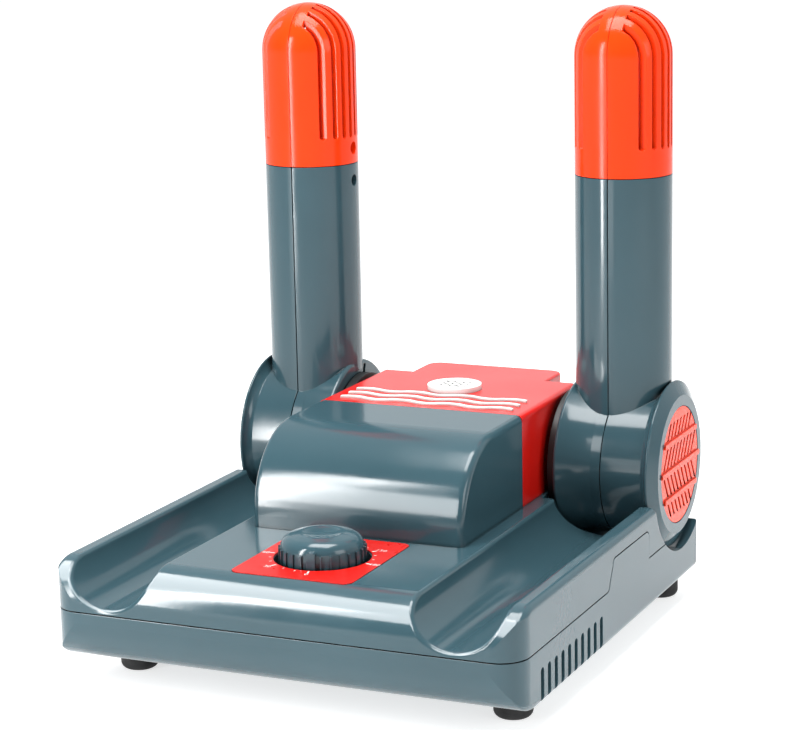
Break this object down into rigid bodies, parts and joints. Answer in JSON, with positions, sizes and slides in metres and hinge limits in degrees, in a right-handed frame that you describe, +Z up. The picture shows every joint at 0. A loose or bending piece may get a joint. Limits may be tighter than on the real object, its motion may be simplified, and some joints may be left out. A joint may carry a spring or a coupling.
{
  "type": "boot dryer",
  "caption": "Forced-air boot dryer: a low case with a timer knob and two hollow slotted arms that fold down into open cradles.",
  "frame": {"origin": "middle of the bounding box on the floor, under the case", "axes": "+Z up; +Y to the rear, away from the timer knob; +X to the user's right"},
  "size_m": [0.27, 0.31, 0.351],
  "materials": {
    "slate_plastic": "gloss",
    "red_plastic": "gloss",
    "white_marks": "satin",
    "black_plastic": "matte",
    "rubber_feet": "matte",
    "natural_plastic": "matte",
    "steel": "brushed",
    "motor_paint": "satin",
    "aluminium": "satin",
    "ceramic": "matte",
    "wire_sleeve": "satin"
  },
  "bodies": {
    "base": {"air_plenum": "natural_plastic", "blower_housing": "black_plastic", "blower_lid": "black_plastic", "case_screws": "steel", "cord_gland": "black_plastic", "dial_plate": "red_plastic", "foot_front_left": "rubber_feet", "foot_front_right": "rubber_feet", "foot_rear_left": "rubber_feet", "foot_rear_right": "rubber_feet", "front_hood": "slate_plastic", "heater_bars": "ceramic", "heater_duct": "natural_plastic", "heater_fins": "aluminium", "left_friction_ring": "rubber_feet", "left_retainer_ring": "steel", "left_trunnion": "black_plastic", "lower_case": "slate_plastic", "mark_disc": "white_marks", "motor_bearings": "steel", "motor_bracket": "motor_paint", "motor_can": "motor_paint", "right_friction_ring": "rubber_feet", "right_retainer_ring": "steel", "right_trunnion": "black_plastic", "terminal_block": "black_plastic", "thermal_fuse": "steel", "thermostat": "steel", "timer_body": "black_plastic", "top_cover": "red_plastic", "upper_case": "slate_plastic", "warm_air_bars": "white_marks", "wiring": "wire_sleeve"},
    "left_arm": {"left_arm_screws": "steel", "left_cap_inner": "red_plastic", "left_cap_outer": "red_plastic", "left_grille": "red_plastic", "left_inner_shell": "slate_plastic", "left_outer_shell": "slate_plastic"},
    "right_arm": {"right_arm_screws": "steel", "right_cap_inner": "red_plastic", "right_cap_outer": "red_plastic", "right_grille": "red_plastic", "right_inner_shell": "slate_plastic", "right_outer_shell": "slate_plastic"},
    "timer_knob": {"timer_knob": "slate_plastic", "timer_shaft": "black_plastic"},
    "fan": {"impeller": "black_plastic", "motor_rotor": "motor_paint", "motor_shaft": "steel"}
  },
  "joints": [
    {"name": "left_arm_fold", "type": "hinge", "parent": "base", "child": "left_arm", "pos_m": [-0.0995, 0.106, 0.086], "axis": [1, 0, 0], "range_deg": [0, 90]},
    {"name": "right_arm_fold", "type": "hinge", "parent": "base", "child": "right_arm", "pos_m": [0.0995, 0.106, 0.086], "axis": [1, 0, 0], "range_deg": [0, 90]},
    {"name": "timer_turn", "type": "hinge", "parent": "base", "child": "timer_knob", "pos_m": [0, -0.0955, 0.07], "axis": [0, 0, -1], "range_deg": [0, 300]},
    {"name": "fan_spin", "type": "hinge", "parent": "base", "child": "fan", "pos_m": [0, 0, 0.05], "axis": [0, 0, 1], "continuous": true}
  ]
}
